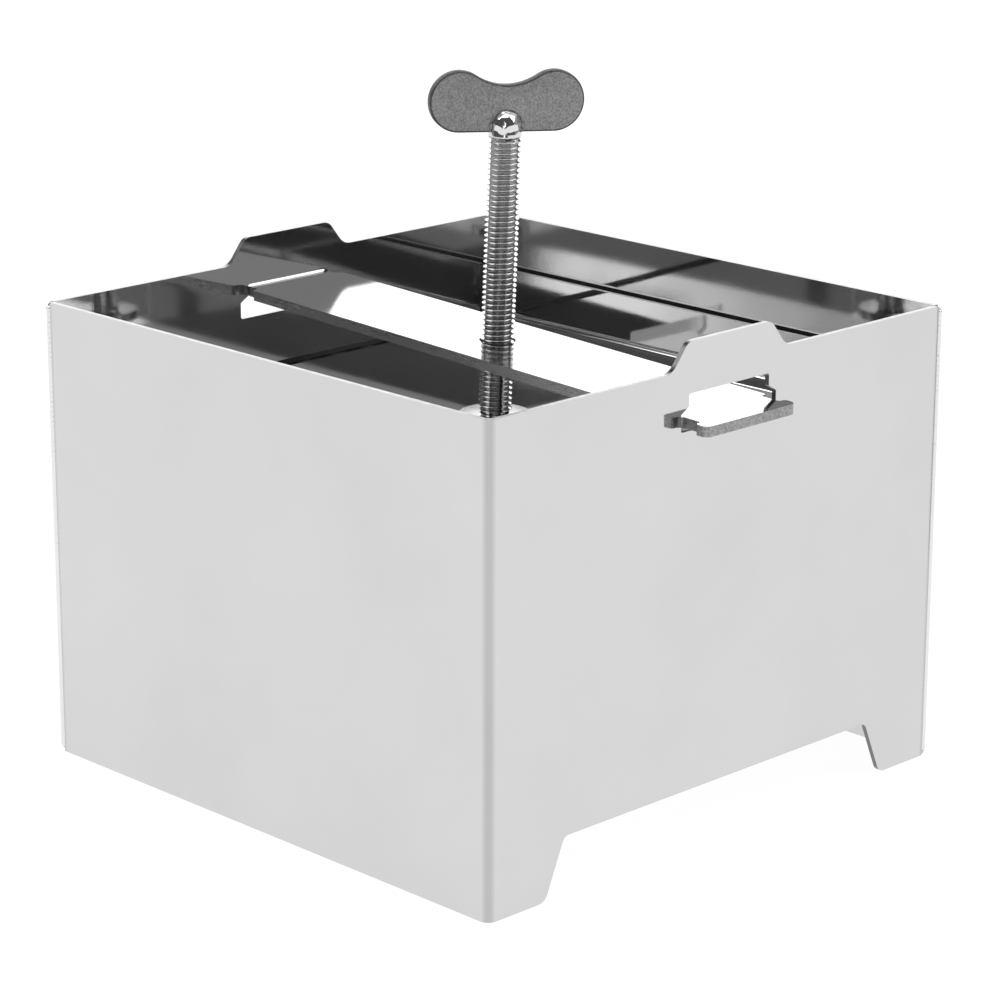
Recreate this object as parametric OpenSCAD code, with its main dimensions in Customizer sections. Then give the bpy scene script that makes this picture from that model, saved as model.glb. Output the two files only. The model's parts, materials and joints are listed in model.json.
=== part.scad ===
// Screw-type cheese press: a square box folded from two bent sheets, with a loose
// crossbar through two slots and a screw that drives a flanged press plate.
// Units are millimetres. +Z is up, X runs along the crossbar, and the origin is the
// bottom centre of the box. The press is drawn as it stands when not under load:
// one end of the crossbar rides up in its slot and the other lies on its sill.

/* [Box] */
// Outside width of the box along X and Y
box_w = 150; // [120:1:200]
// Height of the plain side walls
wall_h = 113.2; // [100:0.1:140]
// Sheet thickness of walls and press plate
sheet_t = 1.2; // [0.8:0.1:1.6]
// Inside radius of the two folded corners
fold_r = 1.2; // [0.8:0.1:2]

/* [Slotted walls] */
// Height of the raised tab above the ground
tab_h = 119.65; // [116:0.05:126]
// Half width of the tab along its top
tab_top = 13.8; // [12:0.1:18]
// Half width of the tab where it meets the wall
tab_base = 18.9; // [17:0.1:24]
// Height of the slot sill
sill_z = 99.2; // [90:0.1:99.5]
// Half width of the low, wide part of the slot
slot_wide = 15.8; // [15.3:0.1:18]
// Half width of the high, narrow part of the slot
slot_narrow = 13.3; // [13.2:0.1:14.5]
// Height of the underside of the slot's top edge
slot_top = 107.7; // [107.5:0.1:110]
// Height of the drain cut-out between the feet
cut_h = 14; // [10:0.5:16]
// Width of each foot at the ground
foot_w = 17.5; // [12:0.5:22]
// Sideways run of each sloping side of the drain cut-out
cut_slope = 6; // [2:0.5:10]

/* [Crossbar] */
// Width of the crossbar
bar_w = 30; // [28:0.5:30.5]
// Thickness of the crossbar
bar_t = 2.5; // [2:0.1:3]
// Reach of each end of the crossbar past the walls, when it is centred
bar_overhang = 5.7; // [4:0.1:8]
// Tilt of the crossbar as it rests loosely in its slots
bar_tilt = 2; // [0:0.1:2]
// Endways shift of the crossbar in its slots
bar_shift = 1.3; // [0:0.1:1.3]
// Length of each notch in the crossbar's edges
notch_l = 5.6; // [4:0.1:6]
// Width of the crossbar's neck between a pair of notches
neck_w = 26; // [24:0.1:26]

/* [Screw and handle] */
// Nominal thread diameter
thread_d = 8; // [7.5:0.5:8.5]
// Thread pitch
pitch = 1.25; // [1:0.25:1.25]
// Lean of the screw toward +X, which follows the tilt of the crossbar
screw_lean = 2.2; // [0:0.1:2.5]
// Lean of the screw toward +Y, from the play in its thread
screw_side_lean = 0.5; // [0:0.1:0.5]
// Reach of the screw above the crossbar, to the top of its dome
screw_reach = 55.9; // [50:0.1:60]
// Thickness of the wing handle
handle_t = 2.5; // [2:0.1:3]
// Radius of each lobe of the wing handle
lobe_r = 7.25; // [6:0.05:8]
// Distance from the screw's axis to a lobe's centre
lobe_x = 11.4; // [10:0.1:14]
// Turn of the wing handle about the screw, from +X
handle_yaw = 60.5; // [0:0.5:180]

/* [Press plate] */
// Gap between each open end of the plate and the wall, when it is centred
plate_end_gap = 2.2; // [2.2:0.1:3]
// Gap between each flange and the wall, when it is centred
plate_side_gap = 1.5; // [1.5:0.1:3]
// Height of the plate's flanges, from the plate's underside
flange_h = 15; // [12:0.5:16]
// Height of the plate's upper face
plate_z = 85.5; // [80:0.1:86]
// Diameter of the hole for the screw's journal
plate_hole_d = 7.4; // [7:0.1:8]

/* [Drain floor] */
// Thickness of the perforated floor
floor_t = 1.5; // [1:0.1:2]
// Diameter of a drain hole
drain_d = 5; // [4:0.5:6]
// Distance from the walls to the middle of the outer drain holes
drain_margin = 17.8; // [8:0.1:24]
// Number of drain holes along each side
drain_n = 9; // [5:2:9]

/* [Hidden] */
$fn = 64;

half_w = box_w / 2;
inner_w = half_w - sheet_t;
fold_out = fold_r + sheet_t;
wall_mid = half_w - sheet_t / 2;

slot_shoulder_top = 104.8;
slot_shoulder_low = 103.3;
slot_corner_r = 0.6;
cut_r = 2;
cut_foot = half_w - foot_w;
cut_top = cut_foot - cut_slope;
foot_r = 3;
tab_top_r = 3.3;
tab_base_r = 4.5;
free_corner_r = 2;

// The low end of the crossbar lies just above the sill of the +X slot.
sill_gap = 0.3;
bar_top_z = sill_z + sill_gap + bar_t / cos(bar_tilt) + (wall_mid - bar_shift) * tan(bar_tilt);
bar_l = box_w + 2 * bar_overhang;
bar_hole_d = thread_d + 0.7;
bar_corner_r = 1.8;
notch_r = 0.9;

weld_r = 0.9;
inner_weld_leg = 0.7;
floor_top = 15.9;
floor_gap = 0.2;
floor_corner_r = 1.5;
handle_weld_r = 0.5;
tack_leg = 1.8;
tack_l = 8;
drain_pitch = 2 * (inner_w - drain_margin) / (drain_n - 1);

thread_r = thread_d / 2;
core_r = thread_r - 0.61 * pitch;
journal_r = 3;
clip_groove_r = 2.5;
clip_bore_r = 2.55;
clip_t = 0.8;
clip_r = 5.5;
clip_gap_w = 4;
washer_t = 1.2;
washer_r = 8.5;
washer_hole_r = 3.5;
keeper_t = 1;
keeper_r = 7;
keeper_hole_r = 3.3;
shoulder_play = 0.6;
keeper_play = 0.85;
clip_play = 0.25;
clip_groove_play = 0.1;
journal_end = 1.4;
dome_neck = 2.3;
dome_slit_base = 5.55;

// Heights along the screw's own axis, from the crossbar's upper face
screw_up = cos(screw_lean) * cos(screw_side_lean);
dome_base = screw_reach - thread_r;
thread_top = dome_base - dome_neck;
shoulder_s = (plate_z + washer_t + shoulder_play - bar_top_z) / screw_up;
keeper_top_s = (plate_z - sheet_t - keeper_play - bar_top_z) / screw_up;
clip_top_s = keeper_top_s - keeper_t - clip_play;
clip_low_s = clip_top_s - clip_t;
journal_low_s = clip_low_s - journal_end;
thread_turns = floor((thread_top - shoulder_s) / pitch);
thread_low_s = thread_top - thread_turns * pitch;
handle_low_s = screw_reach - dome_slit_base;
lobe_s = handle_low_s + lobe_r;
valley_rise = 3.85;

// The plate hangs level, centred on the screw where the screw passes through it.
plate_drop = bar_top_z - plate_z + sheet_t / 2;
plate_x = bar_shift - plate_drop * tan(screw_lean);
plate_y = -plate_drop * tan(screw_side_lean) / cos(screw_lean);
plate_l = 2 * (inner_w - plate_end_gap);
plate_w = 2 * (inner_w - plate_side_gap);
plate_fold_r = 2.5;
flange_setback = 0.8;
flange_trim = 10;

steel = [0.78, 0.78, 0.78];
polished = [0.62, 0.62, 0.63];
cast_grey = [0.5, 0.5, 0.5];
bead = [0.7, 0.7, 0.7];

// Unit vector
function unit(v) = v / norm(v);

// Arc that rounds corner b, on the path from a to c
function corner_arc(a, b, c, r, n = 8) =
    let (u = unit(a - b), v = unit(c - b), half = acos(u * v) / 2)
    let (centre = b + unit(u + v) * r / sin(half), start = b + u * r / tan(half) - centre)
    let (from = atan2(start.y, start.x), turn = (cross(u, v) > 0 ? -1 : 1) * (180 - 2 * half))
    [for (i = [0:n]) centre + r * [cos(from + turn * i / n), sin(from + turn * i / n)]];

// Outline through [x, y, radius] corners; a radius of 0 leaves a corner sharp
function rounded(corners) =
    let (n = len(corners))
    [for (i = [0:n - 1])
        let (a = corners[(i + n - 1) % n], b = corners[i], c = corners[(i + 1) % n])
        each b.z > 0 ? corner_arc([a.x, a.y], [b.x, b.y], [c.x, c.y], b.z) : [[b.x, b.y]]];

// Puts its children in the crossbar's frame: origin on the screw hole, at the upper face
module on_crossbar() {
    translate([bar_shift, 0, bar_top_z]) rotate([0, bar_tilt, 0]) children();
}

// Puts its children in the screw's frame: +Z along the screw, origin in the crossbar
module on_screw() {
    translate([bar_shift, 0, bar_top_z]) rotate([-screw_side_lean, screw_lean, 0]) children();
}

// Wall outline with feet and tab, across the wall and up
function slotted_outline() = rounded([
    [-half_w + fold_out, 0, 0],
    [-cut_foot, 0, foot_r],
    [-cut_top, cut_h, cut_r],
    [cut_top, cut_h, cut_r],
    [cut_foot, 0, foot_r],
    [half_w, 0, free_corner_r],
    [half_w, wall_h, free_corner_r],
    [tab_base, wall_h, tab_base_r],
    [tab_top, tab_h, tab_top_r],
    [-tab_top, tab_h, tab_top_r],
    [-tab_base, wall_h, tab_base_r],
    [-half_w + fold_out, wall_h, 0]]);

// Inverted-T slot that holds the crossbar's neck
function slot_outline() = rounded([
    [-slot_wide, sill_z, slot_corner_r],
    [slot_wide, sill_z, slot_corner_r],
    [slot_wide, slot_shoulder_low, 0],
    [slot_narrow, slot_shoulder_top, 0],
    [slot_narrow, slot_top, slot_corner_r],
    [-slot_narrow, slot_top, slot_corner_r],
    [-slot_narrow, slot_shoulder_top, 0],
    [-slot_wide, slot_shoulder_low, 0]]);

module slotted_wall() {
    translate([inner_w, 0, 0]) rotate([90, 0, 90]) linear_extrude(sheet_t) difference() {
        polygon(slotted_outline());
        polygon(slot_outline());
    }
}

module plain_wall_and_fold() {
    linear_extrude(wall_h) {
        translate([-inner_w, -half_w]) square([inner_w + half_w - fold_out, sheet_t]);
        translate([half_w - fold_out, fold_out - half_w]) intersection() {
            difference() {
                circle(fold_out);
                circle(fold_r);
            }
            translate([0, -fold_out]) square(fold_out);
        }
    }
}

// One folded sheet: a plain wall, the folded corner and a slotted wall
module folded_panel() {
    slotted_wall();
    plain_wall_and_fold();
}

module front_panel() {
    color(steel) folded_panel();
}

module rear_panel() {
    color(steel) rotate([0, 0, 180]) folded_panel();
}

// Bead down the outside of a butt joint, wrapped round the sheet's cut edge
module outer_weld() {
    difference() {
        translate([wall_mid, half_w - weld_r / 2, free_corner_r])
            cylinder(r = weld_r, h = wall_h - 2 * free_corner_r);
        translate([0, 0, -1]) cube([half_w, half_w, wall_h + 2]);
    }
}

// Fillet down the inside of a butt joint
module inner_weld() {
    translate([inner_w, inner_w, floor_top + 1]) linear_extrude(wall_h - floor_top - 3)
        polygon([[0, 0], [-inner_weld_leg, 0], [0, -inner_weld_leg]]);
}

module outer_weld_right() {
    color(bead) outer_weld();
}

module outer_weld_left() {
    color(bead) rotate([0, 0, 180]) outer_weld();
}

module inner_weld_right() {
    color(bead) inner_weld();
}

module inner_weld_left() {
    color(bead) rotate([0, 0, 180]) inner_weld();
}

module drain_floor() {
    e = inner_w - floor_gap;
    r = floor_corner_r;
    first = -(drain_n - 1) / 2;
    color(steel) difference() {
        translate([0, 0, floor_top - floor_t]) linear_extrude(floor_t)
            polygon(rounded([[-e, -e, r], [e, -e, r], [e, e, r], [-e, e, r]]));
        for (i = [0:drain_n - 1], j = [0:drain_n - 1])
            translate([(first + i) * drain_pitch, (first + j) * drain_pitch, floor_top - floor_t - 1])
                cylinder(d = drain_d, h = floor_t + 2);
    }
}

// Short fillet welds that hold the floor, under it along the walls
module floor_tacks() {
    spots = [-54, -18, 18, 54];
    feet = [-64, 64];
    color(bead) {
        for (turn = [0, 180], s = spots) rotate([0, 0, turn]) tack(s);
        for (turn = [90, 270], s = feet) rotate([0, 0, turn]) tack(s);
    }
}

module tack(along) {
    translate([along - tack_l / 2, inner_w, floor_top - floor_t]) rotate([90, 0, 90])
        linear_extrude(tack_l) polygon([[0, 0], [-tack_leg, 0], [0, -tack_leg]]);
}

// Outline of the strip seen from above, with a pair of notches near each end
function strip_outline() =
    let (h = bar_w / 2, n = neck_w / 2, e = bar_l / 2)
    let (near = wall_mid - notch_l / 2, far = wall_mid + notch_l / 2)
    let (r = bar_corner_r, s = notch_r)
    rounded([
        [e, -h, r], [e, h, r], [far, h, s], [far, n, s], [near, n, s], [near, h, s],
        [-near, h, s], [-near, n, s], [-far, n, s], [-far, h, s], [-e, h, r], [-e, -h, r],
        [-far, -h, s], [-far, -n, s], [-near, -n, s], [-near, -h, s],
        [near, -h, s], [near, -n, s], [far, -n, s], [far, -h, s]]);

module crossbar() {
    color(polished) on_crossbar() translate([0, 0, -bar_t]) difference() {
        linear_extrude(bar_t) polygon(strip_outline());
        translate([0, 0, -1]) cylinder(d = bar_hole_d, h = bar_t + 2);
    }
}

// U-shaped section, w wide and h high, with rounded lower corners
module u_section(w, h, r) {
    translate([-w / 2, r]) square([w, h - r]);
    translate([-w / 2 + r, 0]) square([w - 2 * r, r]);
    for (side = [-1, 1]) translate([side * (w / 2 - r), r]) circle(r);
}

// Flanged plate; the flanges and their bends stop a little short of its ends
module press_plate() {
    color(polished) translate([plate_x, plate_y, plate_z - sheet_t]) difference() {
        translate([-plate_l / 2, 0, 0]) rotate([90, 0, 90]) linear_extrude(plate_l) difference() {
            u_section(plate_w, flange_h, plate_fold_r + sheet_t);
            translate([0, sheet_t]) u_section(plate_w - 2 * sheet_t, flange_h, plate_fold_r);
        }
        translate([0, 0, -1]) cylinder(d = plate_hole_d, h = sheet_t + 2);
        for (x = [-1, 1], y = [-1, 1]) translate([x * plate_l / 2, y * plate_w / 2, 0])
            cube([2 * flange_setback, 2 * flange_trim, 3 * flange_h], center = true);
    }
}

module ring(r, hole_r, h) {
    difference() {
        cylinder(r = r, h = h);
        translate([0, 0, -1]) cylinder(r = hole_r, h = h + 2);
    }
}

module thrust_washer() {
    color(polished) translate([plate_x, plate_y, plate_z]) ring(washer_r, washer_hole_r, washer_t);
}

module retaining_washer() {
    color(steel) on_screw() translate([0, 0, keeper_top_s - keeper_t]) ring(keeper_r, keeper_hole_r, keeper_t);
}

// Open clip that snaps into the groove at the foot of the screw
module retaining_clip() {
    color(cast_grey) on_screw() translate([0, 0, clip_low_s]) difference() {
        ring(clip_r, clip_bore_r, clip_t);
        translate([0, -clip_gap_w / 2, -1]) cube([clip_r + 1, clip_gap_w, clip_t + 2]);
    }
}

// Half section of the screw: journal, clip groove, thread crests and roots, plain dome
function screw_section() =
    let (groove_low = clip_low_s - clip_groove_play, groove_top = clip_top_s + clip_groove_play)
    concat(
        [[0, journal_low_s], [journal_r, journal_low_s], [journal_r, groove_low]],
        [[clip_groove_r, groove_low], [clip_groove_r, groove_top], [journal_r, groove_top]],
        [[journal_r, shoulder_s], [core_r, shoulder_s], [core_r, thread_low_s]],
        [for (i = [0:thread_turns - 1], k = [0, 1])
            [k == 0 ? thread_r : core_r, thread_low_s + (i + 0.5 + k / 2) * pitch]],
        [[thread_r, thread_top + (thread_r - core_r) / 2], [thread_r, dome_base]],
        [for (a = [10:10:80]) [thread_r * cos(a), dome_base + thread_r * sin(a)]],
        [[0, screw_reach]]);

// Block as thick as the wing handle, from its foot upward
module handle_slab() {
    rotate([0, 0, handle_yaw]) translate([-lobe_x, -handle_t / 2, handle_low_s])
        cube([2 * lobe_x, handle_t, 2 * lobe_x]);
}

module press_screw() {
    color(polished) on_screw() difference() {
        rotate_extrude() polygon(screw_section());
        handle_slab();
    }
}

// Two round lobes joined by a waist with a flat foot and a hollow top
module wing_outline() {
    hollow_r = (valley_rise * valley_rise + lobe_x * lobe_x - lobe_r * lobe_r) / (2 * (lobe_r - valley_rise));
    reach = lobe_r / (hollow_r + lobe_r);
    meet = [lobe_x * (1 - reach), (valley_rise + hollow_r) * reach];
    for (side = [-1, 1]) translate([side * lobe_x, 0]) circle(lobe_r);
    translate([-lobe_x, -lobe_r]) square([2 * lobe_x, lobe_r]);
    difference() {
        translate([-meet.x, -1]) square([2 * meet.x, meet.y + 1]);
        translate([0, valley_rise + hollow_r]) circle(hollow_r);
    }
}

module wing_handle() {
    color(cast_grey) on_screw() rotate([0, 0, handle_yaw]) translate([0, handle_t / 2, lobe_s])
        rotate([90, 0, 0]) linear_extrude(handle_t) wing_outline();
}

// Bead round the dome, on both faces of the wing handle
module handle_weld() {
    leg = dome_base - handle_low_s;
    color(bead) on_screw() difference() {
        rotate([0, 0, handle_yaw]) for (face = [-1, 1]) translate([0, face * handle_t / 2, dome_base]) {
            rotate([90, 0, 0]) rotate_extrude(angle = 180) translate([thread_r, 0]) circle(handle_weld_r);
            for (side = [-1, 1]) translate([side * thread_r, 0, -leg]) cylinder(r = handle_weld_r, h = leg);
        }
        handle_slab();
        translate([0, 0, handle_low_s - 1]) cylinder(r = thread_r, h = leg + 1);
        translate([0, 0, dome_base]) sphere(thread_r);
    }
}

front_panel();
rear_panel();
outer_weld_left();
outer_weld_right();
inner_weld_left();
inner_weld_right();
drain_floor();
floor_tacks();
crossbar();
press_plate();
thrust_washer();
retaining_washer();
retaining_clip();
press_screw();
wing_handle();
handle_weld();
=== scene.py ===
import json
import math

import bmesh
import bpy
from mathutils import Matrix, Vector, noise


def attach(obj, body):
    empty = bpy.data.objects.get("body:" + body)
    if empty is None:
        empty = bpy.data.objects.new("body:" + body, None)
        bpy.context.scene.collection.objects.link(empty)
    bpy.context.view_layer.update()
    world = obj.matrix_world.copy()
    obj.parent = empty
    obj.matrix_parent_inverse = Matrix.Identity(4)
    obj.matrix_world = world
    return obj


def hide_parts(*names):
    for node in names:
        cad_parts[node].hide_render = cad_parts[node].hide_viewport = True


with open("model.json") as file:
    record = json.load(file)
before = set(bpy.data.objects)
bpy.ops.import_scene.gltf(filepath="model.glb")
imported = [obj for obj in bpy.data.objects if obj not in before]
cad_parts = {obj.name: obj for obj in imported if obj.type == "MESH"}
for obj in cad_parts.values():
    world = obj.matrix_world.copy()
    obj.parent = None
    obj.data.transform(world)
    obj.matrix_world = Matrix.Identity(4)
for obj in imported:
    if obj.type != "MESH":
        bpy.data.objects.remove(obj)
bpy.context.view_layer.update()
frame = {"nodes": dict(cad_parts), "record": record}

MM = 0.001
SCENE = bpy.context.scene
SCENE.view_settings.view_transform = "Standard"
JOINTS = {j["name"]: j for j in frame["record"]["behaviour"]["joints"]}


# ---------- node helpers ----------

class Nodes:
    """Small wrapper that builds one material's node tree."""

    def __init__(self, name):
        self.material = bpy.data.materials.new(name)
        self.material.use_nodes = True
        self.tree = self.material.node_tree
        self.tree.nodes.clear()
        self.out = self.tree.nodes.new("ShaderNodeOutputMaterial")
        self.shader = self.tree.nodes.new("ShaderNodeBsdfPrincipled")
        self.link(self.shader.outputs["BSDF"], self.out.inputs["Surface"])
        self.coords = self.tree.nodes.new("ShaderNodeTexCoord").outputs["Object"]

    def link(self, a, b):
        self.tree.links.new(a, b)

    def node(self, kind, **settings):
        n = self.tree.nodes.new(kind)
        for key, value in settings.items():
            setattr(n, key, value)
        return n

    def stretched(self, scale):
        """The object coordinates, scaled by a different amount along each axis."""
        m = self.node("ShaderNodeMapping")
        m.inputs["Scale"].default_value = scale
        self.link(self.coords, m.inputs["Vector"])
        return m.outputs["Vector"]

    def noise(self, scale, detail=4.0, roughness=0.55, vector=None):
        n = self.node("ShaderNodeTexNoise")
        n.inputs["Scale"].default_value = scale
        n.inputs["Detail"].default_value = detail
        n.inputs["Roughness"].default_value = roughness
        self.link(vector or self.coords, n.inputs["Vector"])
        return n.outputs["Fac"]

    def spread(self, value, low, high, start=0.0, end=1.0):
        """Maps value from start..end to low..high, clamped."""
        r = self.node("ShaderNodeMapRange")
        r.inputs["From Min"].default_value = start
        r.inputs["From Max"].default_value = end
        r.inputs["To Min"].default_value = low
        r.inputs["To Max"].default_value = high
        self.link(value, r.inputs["Value"])
        return r.outputs["Result"]

    def maths(self, operation, a, b):
        m = self.node("ShaderNodeMath", operation=operation)
        for socket, value in zip(m.inputs, (a, b)):
            if isinstance(value, (int, float)):
                socket.default_value = value
            else:
                self.link(value, socket)
        return m.outputs[0]

    def blend(self, factor, dark, light):
        m = self.node("ShaderNodeMix", data_type="RGBA")
        m.inputs["A"].default_value = (*dark, 1)
        m.inputs["B"].default_value = (*light, 1)
        self.link(factor, m.inputs["Factor"])
        return m.outputs["Result"]

    def bump(self, height, distance, strength=1.0, under=None):
        b = self.node("ShaderNodeBump")
        b.inputs["Strength"].default_value = strength
        b.inputs["Distance"].default_value = distance
        self.link(height, b.inputs["Height"])
        if under is not None:
            self.link(under, b.inputs["Normal"])
        return b.outputs["Normal"]

    def finish(self, colour, rough, normal, metallic=1.0):
        self.link(colour, self.shader.inputs["Base Color"])
        self.link(rough, self.shader.inputs["Roughness"])
        self.link(normal, self.shader.inputs["Normal"])
        self.shader.inputs["Metallic"].default_value = metallic
        return self.material


def grey(value):
    return (value, value, value)


def corner_mask(n, start, end):
    """1 at the box's four vertical corners, fading to 0 away from them."""
    axes = n.node("ShaderNodeSeparateXYZ")
    n.link(n.coords, axes.inputs["Vector"])
    near = [n.spread(n.maths("ABSOLUTE", axes.outputs[axis], 0), 0, 1, start, end) for axis in "XY"]
    return n.maths("MULTIPLY", *near)


REAR_LEAN = 0.0105


def rear_lean(n):
    """Height field that shades the wall at +Y as if it leaned in a little; the mesh stays upright."""
    axes = n.node("ShaderNodeSeparateXYZ")
    n.link(n.coords, axes.inputs["Vector"])
    wall = n.spread(axes.outputs["Y"], 0, REAR_LEAN, 0.0735, 0.0737)
    return n.maths("MULTIPLY", axes.outputs["Z"], wall)


def polished_sheet(name, tone, rough_low, rough_high, waviness, corner_tint_shade_and_lean=False):
    """Mirror-polished sheet: slow waves, cloudy polish, and a very fine grain."""
    n = Nodes(name)
    cloud = n.noise(22, 5, 0.6)
    grain = n.noise(2600, 2, 0.5)
    shade = n.spread(cloud, 0, 1, 0.3, 0.7)
    rough = n.spread(n.noise(70, 4, 0.6), rough_low, rough_high, 0.3, 0.7)
    if corner_tint_shade_and_lean:
        # Darker and rougher at the box's four vertical corners: heat tint at the welded corners, painted
        # shade along the folds.
        corner_tint_and_shade = corner_mask(n, 0.0728, 0.0739)
        shade = n.maths("SUBTRACT", shade, n.maths("MULTIPLY", corner_tint_and_shade, 4.0))
        rough = n.maths("ADD", rough, n.maths("MULTIPLY", corner_tint_and_shade, 0.16))
    colour = n.blend(n.spread(shade, 0, 1, -5, 1), grey(tone * 0.70), grey(tone * 1.02))
    wave = n.bump(n.noise(16, 1.5, 0.4), waviness)
    if corner_tint_shade_and_lean:
        wave = n.bump(rear_lean(n), 1.0, under=wave)
    return n.finish(colour, rough, n.bump(grain, 0.0000012, under=wave), metallic=0.975)


def ground_steel(name, tone, rough_low, rough_high, along):
    """Ground steel: fine lines along one axis over a fine grain."""
    n = Nodes(name)
    lines = n.noise(1.0, 3, 0.6, n.stretched(along))
    grain = n.noise(3400, 3, 0.6)
    colour = n.blend(n.spread(grain, 0, 1, 0.3, 0.7), grey(tone * 0.9), grey(tone * 1.06))
    rough = n.spread(lines, rough_low, rough_high, 0.3, 0.7)
    return n.finish(colour, rough, n.bump(grain, 0.000004, under=n.bump(lines, 0.000004)))


def pitted_steel(name, tone, rough_low, rough_high, pit):
    """Matte blasted steel with bright and dark specks."""
    n = Nodes(name)
    fine = n.noise(2300, 4, 0.7)
    coarse = n.noise(420, 4, 0.65)
    mix = n.maths("ADD", n.maths("MULTIPLY", fine, 0.75), n.maths("MULTIPLY", coarse, 0.25))
    colour = n.blend(n.spread(mix, 0, 1, 0.38, 0.64), grey(tone * 0.62), grey(tone * 1.45))
    rough = n.spread(coarse, rough_low, rough_high, 0.3, 0.7)
    return n.finish(colour, rough, n.bump(mix, pit))


def weld_metal(name, tone):
    """Dull, blotchy weld bead."""
    n = Nodes(name)
    blotch = n.noise(900, 4, 0.6)
    colour = n.blend(n.spread(blotch, 0, 1, 0.3, 0.7), grey(tone * 0.7), grey(tone * 1.15))
    rough = n.spread(blotch, 0.3, 0.48, 0.3, 0.7)
    return n.finish(colour, rough, n.bump(blotch, 0.00003))


SHEET = polished_sheet("polished_sheet", 0.645, 0.03, 0.055, 0.00004, corner_tint_shade_and_lean=True)
PLATE = polished_sheet("mirror_plate", 0.68, 0.02, 0.04, 0.00003)
BAR = ground_steel("ground_bar", 0.65, 0.07, 0.10, (60, 1800, 1800))
# A darker, rougher copy of the rod's polish: painted shade in the thread's grooves.
THREAD_ROOT_SHADED = polished_sheet("thread_root_painted_shade", 0.42, 0.14, 0.24, 0.0)
SEAM = polished_sheet("ground_seam", 0.8, 0.12, 0.2, 0.0)
BAR_SIDE = ground_steel("sheared_side", 0.4, 0.24, 0.34, (40, 900, 900))
ROD = polished_sheet("bright_rod", 0.74, 0.05, 0.1, 0.0)
CUT = ground_steel("cut_edge", 0.5, 0.3, 0.42, (700, 700, 700))
# A much darker copy of the cut-edge finish: painted shade on the upright and sloping cut edges and on the
# walls' rounded edges.
CUT_SIDE_SHADED = ground_steel("cut_side_painted_shade", 0.2, 0.25, 0.4, (900, 900, 900))
FLANGE_EDGE = ground_steel("flange_edge", 0.6, 0.34, 0.45, (700, 700, 700))
BAR_END = pitted_steel("sawn_edge", 0.34, 0.34, 0.48, 0.00005)
# A much darker copy of the handle's finish: painted shade that draws a dark outline on the grip's rim.
GRIP_RIM_SHADED = pitted_steel("grip_rim_painted_shade", 0.12, 0.42, 0.55, 0.00004)
HANDLE = pitted_steel("blasted_handle", 0.33, 0.38, 0.5, 0.00006)
WASHER = ground_steel("bright_washer", 0.62, 0.08, 0.14, (500, 500, 500))
CLIP = ground_steel("spring_clip", 0.3, 0.25, 0.35, (900, 900, 900))
WELD = weld_metal("weld_metal", 0.66)
SCORCHED = weld_metal("scorched_weld", 0.34)
FLOOR_SHEET = polished_sheet("perforated_sheet", 0.56, 0.12, 0.18, 0.00004)


# ---------- geometry helpers ----------

def piece(name, bm, material, body, replaced, sharp=40):
    """Turns a bmesh in metres into a smooth-shaded piece that rides on a body."""
    mesh = bpy.data.meshes.new(name)
    bmesh.ops.recalc_face_normals(bm, faces=bm.faces)
    bm.to_mesh(mesh)
    bm.free()
    mesh.materials.append(material)
    for face in mesh.polygons:
        face.use_smooth = True
    mesh.set_sharp_from_angle(angle=math.radians(sharp))
    thing = bpy.data.objects.new(name, mesh)
    SCENE.collection.objects.link(thing)
    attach(thing, body)
    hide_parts(*replaced)
    return thing


def screw_frame():
    """Places +Z on the screw's axis, with the origin at the crossbar's upper face."""
    joint = JOINTS["screw_spin"]
    axis = Vector(joint["axis"]).normalized()
    lean, side = math.atan2(axis.x, axis.z), math.asin(axis.y)
    turn = Matrix.Rotation(lean, 4, "Y") @ Matrix.Rotation(-side, 4, "X")
    return Matrix.Translation(Vector(joint["pos_m"])) @ turn


def grid_faces(bm, rows, closed=True):
    """Quads between neighbouring rows of vertices."""
    for low, high in zip(rows, rows[1:]):
        count = len(low)
        for i in range(count if closed else count - 1):
            j = (i + 1) % count
            corners = [low[i], low[j], high[j], high[i]]
            bm.faces.new(corners)


# ---------- CAD nodes that keep their shape ----------

def wall_edge(normal, middle):
    """1 on a folded panel's level cut edges, 2 on the sloping and upright ones."""
    inner, outer = 73.85 * MM, 74.95 * MM
    if abs(normal.z) > 0.9:
        return 1
    cut = (abs(normal.z) > 0.3
           or (abs(normal.x) < 0.05 and inner < abs(middle.x) < outer)
           or (abs(normal.y) < 0.05 and inner < abs(middle.y) < outer))
    return 2 if cut else 0


def strip_edge(normal, middle):
    """2 on the crossbar's long sides, 1 on its ends and notches."""
    if abs(normal.z) > 0.6:
        return 0
    return 2 if abs(normal.y) > 0.9 and abs(middle.x) < 72 * MM else 1


def tray_edge(normal, middle):
    """Ends of the press plate and the tops of its flanges."""
    return abs(normal.x) > 0.9 or (normal.z > 0.9 and middle.z > 98 * MM)


def dress(node, material, edge, cuts=(), which=None, rounding=-1):
    """Gives a CAD node its material, others on its cut edges, and softly rounded edges."""
    thing = frame["nodes"][node]
    thing.data.materials.clear()
    for each in (material, *cuts):
        thing.data.materials.append(each)
    if which:
        for face in thing.data.polygons:
            face.material_index = int(which(face.normal, face.center))
    for face in thing.data.polygons:
        face.use_smooth = True
    thing.data.set_sharp_from_angle(angle=math.radians(32))
    if edge:
        flat = thing.modifiers.new("merge_flats", "DECIMATE")
        flat.decimate_type = "DISSOLVE"
        flat.angle_limit = math.radians(1)
        soft = thing.modifiers.new("soft_edges", "BEVEL")
        soft.width = edge
        soft.segments = 3
        soft.limit_method = "ANGLE"
        soft.angle_limit = math.radians(35)
        soft.harden_normals = True
        soft.material = rounding
    return thing


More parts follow.
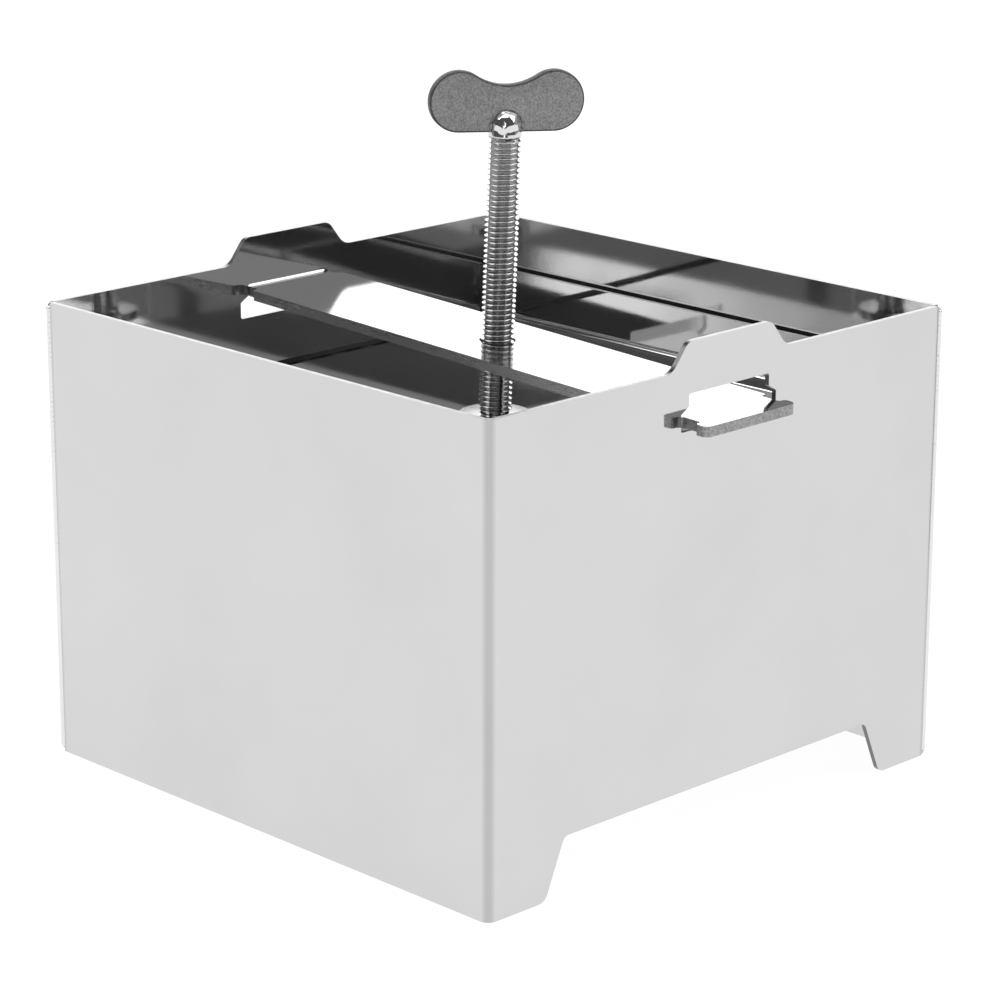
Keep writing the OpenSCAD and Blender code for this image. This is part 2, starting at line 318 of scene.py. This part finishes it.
# The walls' rounded edges take the third material, the dark copy with painted shade.
dress("front_panel", SHEET, 0.2 * MM, [CUT, CUT_SIDE_SHADED], wall_edge, 2)
dress("rear_panel", SHEET, 0.2 * MM, [CUT, CUT_SIDE_SHADED], wall_edge, 2)
dress("drain_floor", FLOOR_SHEET, 0.2 * MM)
dress("floor_tacks", WELD, 0.4 * MM)
dress("crossbar", BAR, 0.22 * MM, [BAR_END, BAR_SIDE], strip_edge)
dress("press_plate", PLATE, 0.3 * MM, [FLANGE_EDGE], tray_edge)
dress("thrust_washer", WASHER, 0.15 * MM)
dress("retaining_washer", WASHER, 0.15 * MM)
dress("retaining_clip", CLIP, 0.1 * MM)


# ---------- screw with a helical thread ----------

PITCH, CREST, ROOT = 1.25, 4.0, 3.3
SHOULDER, THREAD_TOP, DOME_BASE, DOME_TOP = -17.26, 49.6, 51.9, 55.9
JOURNAL_R, JOURNAL_LOW, GROOVE_LOW, GROOVE_TOP, GROOVE_R = 3.0, -24.57, -23.27, -22.27, 2.5
RUNOUT = 0.9
# How far the dome's lumpy surface is drawn in, on average
DOME_INSET = 0.16
# Strips of each pitch, the root and the flank rising from it, that take the darker material with painted
# shade.
SHADED_ROOT_STRIPS = (0, 1, 2, 7)
# Radius along one pitch of thread, as (fraction of the pitch, radius)
THREAD_SHAPE = [(0.02, ROOT), (0.23, ROOT), (0.27, ROOT + 0.05), (0.53, CREST - 0.08),
                (0.575, CREST), (0.675, CREST), (0.72, CREST - 0.08), (0.98, ROOT + 0.05)]


def thread_radius(fraction):
    """The thread's radius at a fraction of its pitch."""
    shape = THREAD_SHAPE + [(1.02, ROOT)]
    fraction = (fraction - 0.02) % 1.0 + 0.02
    for (a, ra), (b, rb) in zip(shape, shape[1:]):
        if fraction <= b:
            return ra + (rb - ra) * (fraction - a) / (b - a)
    return ROOT


def build_screw():
    """Journal, helical thread and an uneven welded dome, as one closed mesh."""
    place = screw_frame() @ Matrix.Scale(MM, 4)
    around = 72
    angles = [2 * math.pi * i / around for i in range(around)]
    bm = bmesh.new()

    def ring(radius, height):
        return [bm.verts.new(place @ Vector((radius * math.cos(a), radius * math.sin(a), height)))
                for a in angles]

    rows = [ring(0.01, JOURNAL_LOW), ring(JOURNAL_R - 0.4, JOURNAL_LOW), ring(JOURNAL_R, JOURNAL_LOW + 0.4),
            ring(JOURNAL_R, GROOVE_LOW), ring(GROOVE_R, GROOVE_LOW), ring(GROOVE_R, GROOVE_TOP),
            ring(JOURNAL_R, GROOVE_TOP), ring(JOURNAL_R, SHOULDER), ring(ROOT, SHOULDER)]
    grid_faces(bm, rows)

    first = math.floor(SHOULDER / PITCH) - 1
    last = math.ceil(THREAD_TOP / PITCH) + 1
    start, end = SHOULDER + 0.3, THREAD_TOP
    columns = []
    for i in range(around + 1):
        advance = i / around
        column = []
        for turn in range(first, last):
            for fraction, radius in THREAD_SHAPE:
                height = (turn + fraction + advance) * PITCH
                fixed = min(max(height, start), end)
                if fixed != height:
                    radius = thread_radius((fixed / PITCH - advance) % 1.0)
                fade = min(1.0, max(0.0, (end - fixed) / RUNOUT))
                radius = CREST + (radius - CREST) * fade
                column.append((radius, fixed))
        columns.append(column)
    grid = []
    for i, column in enumerate(columns[:-1]):
        a = angles[i]
        grid.append([bm.verts.new(place @ Vector((r * math.cos(a), r * math.sin(a), h))) for r, h in column])
    per_turn = len(THREAD_SHAPE)
    for i in range(around):
        here = grid[i]
        there = grid[(i + 1) % around]
        step = 0 if i < around - 1 else per_turn
        for k in range(len(here) - 1):
            if k + 1 + step < len(there):
                face = bm.faces.new((here[k], there[k + step], there[k + 1 + step], here[k + 1]))
                face.material_index = 1 if k % per_turn in SHADED_ROOT_STRIPS else 0

    collar = [ring(CREST, THREAD_TOP - 0.02)]
    for k in range(1, 25):
        t = k / 24
        if t < 0.3:
            radius, height = CREST, THREAD_TOP + (DOME_BASE - THREAD_TOP) * t / 0.3
        else:
            a = (t - 0.3) / 0.7 * math.pi / 2
            radius = max(CREST * math.cos(a), 0.01)
            height = DOME_BASE + (DOME_TOP - DOME_BASE) * math.sin(a)
        row = []
        for a in angles:
            where = Vector((radius * math.cos(a), radius * math.sin(a), height))
            lump = noise.noise(where * 0.55) * 0.22 + noise.noise(where * 1.6 + Vector((7, 3, 1))) * 0.07
            fade = min(1.0, t / 0.2)
            outward = Vector((where.x, where.y, max(height - DOME_BASE, 0))).normalized()
            row.append(bm.verts.new(place @ (where + outward * (lump - DOME_INSET) * fade)))
        collar.append(row)
    grid_faces(bm, collar)
    bmesh.ops.remove_doubles(bm, verts=bm.verts, dist=2e-7)
    bmesh.ops.dissolve_degenerate(bm, edges=bm.edges, dist=1e-7)
    screw = piece("screw_threaded", bm, ROD, "screw", ["press_screw"], sharp=70)
    screw.data.materials.append(THREAD_ROOT_SHADED)
    return screw


build_screw()


# ---------- wing handle ----------

LOBE_R, LOBE_X, VALLEY, HANDLE_T, HANDLE_YAW = 7.25, 11.4, 3.85, 2.5, 60.5
LOBE_S = DOME_TOP - 5.55 + LOBE_R


def handle_outline():
    """The grip's outline: flat foot, round lobes and a hollow between them."""
    hollow = (VALLEY ** 2 + LOBE_X ** 2 - LOBE_R ** 2) / (2 * (LOBE_R - VALLEY))
    centre = VALLEY + hollow
    meet = math.atan2(centre, -LOBE_X)
    points = []
    for i in range(33):
        a = -math.pi / 2 + (meet + math.pi / 2) * i / 32
        points.append((LOBE_X + LOBE_R * math.cos(a), LOBE_R * math.sin(a)))
    half = math.atan2(LOBE_X, centre)
    for i in range(1, 24):
        a = -math.pi / 2 + half - 2 * half * i / 24
        points.append((hollow * math.cos(a), centre + hollow * math.sin(a)))
    for i in range(33):
        a = math.pi - meet + (meet + math.pi / 2) * i / 32
        points.append((-LOBE_X + LOBE_R * math.cos(a), LOBE_R * math.sin(a)))
    return points


def build_handle():
    """The grip plate with rounded edges: rows of its outline through the thickness."""
    place = screw_frame() @ Matrix.Scale(MM, 4) @ Matrix.Rotation(math.radians(HANDLE_YAW), 4, "Z")
    place = place @ Matrix.Translation((0, 0, LOBE_S))
    outline = handle_outline()
    count = len(outline)
    normals = []
    for i in range(count):
        a, b = Vector(outline[i - 1]), Vector(outline[(i + 1) % count])
        along = (b - a).normalized()
        normals.append(Vector((along.y, -along.x)))
    bm = bmesh.new()
    rows = []
    edge = 0.45
    steps = 5
    layers = [(edge * (1 - math.cos(t)), edge * (1 - math.sin(t))) for t in
              [math.pi / 2 * k / steps for k in range(steps + 1)]]
    profile = [(-HANDLE_T / 2 + depth, inset) for depth, inset in layers]
    profile += [(HANDLE_T / 2 - depth, inset) for depth, inset in reversed(layers)]
    for y, inset in profile:
        row = []
        for (x, z), out in zip(outline, normals):
            row.append(bm.verts.new(place @ Vector((x - out.x * inset, y, z - out.y * inset))))
        rows.append(row)
    grid_faces(bm, rows)
    # The rim faces take the dark copy: a painted shaded outline.
    for face in bm.faces:
        face.material_index = 1
    bm.faces.new(rows[0])
    bm.faces.new(rows[-1])
    grip = piece("wing_grip", bm, HANDLE, "screw", ["wing_handle"], sharp=50)
    grip.data.materials.append(GRIP_RIM_SHADED)
    return grip


build_handle()


GRIP_BEAD, GRIP_RIPPLE = 0.25, 0.95


def build_handle_weld():
    """Small uneven bead where the rod's dome meets each face of the grip."""
    place = screw_frame() @ Matrix.Scale(MM, 4) @ Matrix.Rotation(math.radians(HANDLE_YAW), 4, "Z")
    bm = bmesh.new()
    steps, around = 56, 14
    drop = DOME_BASE - (LOBE_S - LOBE_R)
    length = 2 * drop + math.pi * CREST
    for face in (-1, 1):
        rows = []
        for k in range(steps + 1):
            d = length * k / steps
            if d < drop:
                x, z, out = CREST, d - drop, Vector((1, 0, 0))
            elif d < drop + math.pi * CREST:
                a = (d - drop) / CREST
                x, z = CREST * math.cos(a), CREST * math.sin(a)
                out = Vector((math.cos(a), 0, math.sin(a)))
            else:
                x, z, out = -CREST, -(d - drop - math.pi * CREST), Vector((-1, 0, 0))
            size = GRIP_BEAD * (1 + 0.2 * math.sin(d * 2 * math.pi / GRIP_RIPPLE))
            size += 0.05 * noise.noise(Vector((d, face * 5, 2)))
            end = min(k, steps - k)
            size += 0.22 * max(0.0, 1 - abs(end - 6) / 4)
            size *= min(1.0, (end + 0.3) / 2)
            centre = Vector((x, face * HANDLE_T / 2, z + DOME_BASE)) - out * 0.08
            side = Vector((0, face, 0))
            rows.append([bm.verts.new(place @ (centre + (out * math.cos(a) + side * math.sin(a)) * size))
                         for a in [2 * math.pi * i / around for i in range(around)]])
        grid_faces(bm, rows)
        bm.faces.new(rows[0])
        bm.faces.new(rows[-1])
    return piece("grip_weld", bm, SCORCHED, "screw", ["handle_weld"], sharp=80)


build_handle_weld()


# ---------- rippled corner welds ----------

HALF, SHEET_T = 75.0, 1.2
RIPPLE = 1.22


def ripple(height, seed):
    """Bead size along the seam: one scallop per ripple, slightly uneven."""
    step = height / RIPPLE + 0.25 * noise.noise(Vector((height * 0.12, seed, 0)))
    wave = abs(math.sin(math.pi * step)) ** 0.6
    return wave, noise.noise(Vector((math.floor(step) * 1.7, seed, 4)))


def build_corner_weld(name, node, turn, outside, low, high, seed):
    """A rippled bead up one butt joint, outside it or inside."""
    bm = bmesh.new()
    place = Matrix.Scale(MM, 4) @ Matrix.Rotation(math.radians(turn), 4, "Z")
    around = 20
    rows = []
    steps = int((high - low) / (RIPPLE / 7))
    for k in range(steps + 1):
        height = low + (high - low) * k / steps
        wave, uneven = ripple(height, seed)
        if outside:
            centre, full = Vector((HALF - SHEET_T / 2, HALF - 0.45)), 0.88
            size = full * (0.90 + 0.07 * wave + 0.02 * uneven)
        else:
            centre, full = Vector((HALF - SHEET_T + 0.1, HALF - SHEET_T + 0.1)), 0.72
            size = full * (0.75 + 0.22 * wave + 0.03 * uneven)
        size *= min(1.0, 0.4 + min(k, steps - k) / 5)
        angles = [2 * math.pi * i / around for i in range(around)]
        rows.append([bm.verts.new(place @ Vector((centre.x + size * math.cos(a),
                                                  centre.y + size * math.sin(a), height)))
                     for a in angles])
    grid_faces(bm, rows)
    bm.faces.new(rows[0])
    bm.faces.new(rows[-1])
    return piece(name, bm, SEAM if outside else WELD, "box", [node], sharp=80)


build_corner_weld("seam_right_outer", "outer_weld_right", 0, True, 1.0, 112.4, 1)
build_corner_weld("seam_left_outer", "outer_weld_left", 180, True, 1.0, 112.4, 2)
build_corner_weld("seam_right_inner", "inner_weld_right", 0, False, 16.9, 111.0, 3)
build_corner_weld("seam_left_inner", "inner_weld_left", 180, False, 16.9, 111.0, 4)


# ---------- camera ----------

AZIMUTH, ELEVATION, ROLL = math.radians(45.475), math.radians(16.426), math.radians(0.131)
camera_data = bpy.data.cameras.new("camera")
camera = bpy.data.objects.new("camera", camera_data)
SCENE.collection.objects.link(camera)
back = Vector((math.sin(AZIMUTH) * math.cos(ELEVATION), -math.cos(AZIMUTH) * math.cos(ELEVATION),
               math.sin(ELEVATION)))
level = Vector((math.cos(AZIMUTH), math.sin(AZIMUTH), 0))
upright = back.cross(level)
right = level * math.cos(ROLL) + upright * math.sin(ROLL)
up = back.cross(right)
CAMERA_PLACE = (0.57388, -0.56387, 0.30309)
turned = Matrix((right, up, back)).transposed().to_4x4()
camera.matrix_world = Matrix.Translation(CAMERA_PLACE) @ turned
camera_data.sensor_width = 36
camera_data.lens = 126.72
camera_data.clip_start = 0.01
camera_data.clip_end = 50
SCENE.camera = camera


# ---------- floor and light ----------

# The floor glows evenly over a dark base, so it stays white and shows no shadow of the press.
floor_mesh = bpy.data.meshes.new("floor")
bm = bmesh.new()
bmesh.ops.create_grid(bm, x_segments=1, y_segments=1, size=6)
bm.to_mesh(floor_mesh)
bm.free()
floor = bpy.data.objects.new("floor", floor_mesh)
floor.location.z = -0.00005
SCENE.collection.objects.link(floor)
paper = Nodes("pale_paper")
tone = paper.blend(paper.spread(paper.noise(3, 3), 0, 1, 0.3, 0.7), grey(0.07), grey(0.08))
paper.shader.inputs["Emission Color"].default_value = (1, 1, 1, 1)
paper.shader.inputs["Emission Strength"].default_value = 0.95
rough = paper.spread(paper.noise(40), 0.7, 0.8)
floor_mesh.materials.append(paper.finish(tone, rough, paper.bump(paper.noise(900), 0.00001), metallic=0.0))


def softbox(name, where, target, width, height, radiance):
    """A rectangular soft light of a given brightness, aimed at a point."""
    data = bpy.data.lights.new(name, "AREA")
    data.shape = "RECTANGLE"
    data.size, data.size_y = width, height
    data.energy = radiance * math.pi * width * height
    lamp = bpy.data.objects.new(name, data)
    lamp.location = where
    lamp.rotation_mode = "QUATERNION"
    lamp.rotation_quaternion = (Vector(target) - Vector(where)).to_track_quat("-Z", "Y")
    SCENE.collection.objects.link(lamp)
    return lamp


softbox("overhead", (0.1, -0.1, 1.7), (0, 0, 0), 1.5, 1.5, 1.6)
away = Vector((-math.sin(AZIMUTH), math.cos(AZIMUTH), 0))
softbox("backdrop", away * 2.3 + Vector((0, 0, 0.85)), away * 0.6 + Vector((0, 0, 0.4)), 3.2, 1.6, 1.9)
side = Vector((math.cos(AZIMUTH), math.sin(AZIMUTH), 0))


def around(degrees, distance, height):
    """A place around the press, measured anticlockwise from +X."""
    a = math.radians(degrees)
    return Vector((math.cos(a) * distance, math.sin(a) * distance, height))


softbox("left", around(206, 2.2, 0.8), (0, 0, 0.1), 1.76, 1.3, 0.32)
softbox("left_edge", around(230.5, 2.25, 0.8), (0, 0, 0.1), 0.3, 1.3, 0.45)
softbox("right", side * 2.2 + Vector((0, 0, 0.8)), (0, 0, 0.1), 1.8, 1.3, 0.26)
softbox("left_high", around(236, 1.3, 1.4), (0, 0, 0.1), 1.1, 0.9, 3.4)
softbox("right_high", around(35, 1.3, 1.4), (0, 0, 0.1), 1.1, 0.9, 3.4)
# Upright strips behind the camera, mirrored in the polished inside: name, bearings, top, brightness
WINDOWS = (("window_a", 311.2, 314.5, 0.655, 2.0), ("window_b", 309.8, 311.2, 0.8, 1.5),
           ("window_c", 308.0, 309.8, 0.8, 1.0), ("window_d", 305.0, 308.0, 0.8, 0.7))
WINDOW_LOW, WINDOW_AWAY = 0.15, 2.2
for name, start, end, top, radiance in WINDOWS:
    middle = (top + WINDOW_LOW) / 2
    softbox(name, around((start + end) / 2, WINDOW_AWAY, middle), (0, 0, middle),
            WINDOW_AWAY * math.radians(end - start), top - WINDOW_LOW, radiance)

world = bpy.data.worlds.new("studio")
world.use_nodes = True
world.node_tree.nodes["Background"].inputs["Color"].default_value = (0.08, 0.08, 0.08, 1)
world.node_tree.nodes["Background"].inputs["Strength"].default_value = 1.0
SCENE.world = world
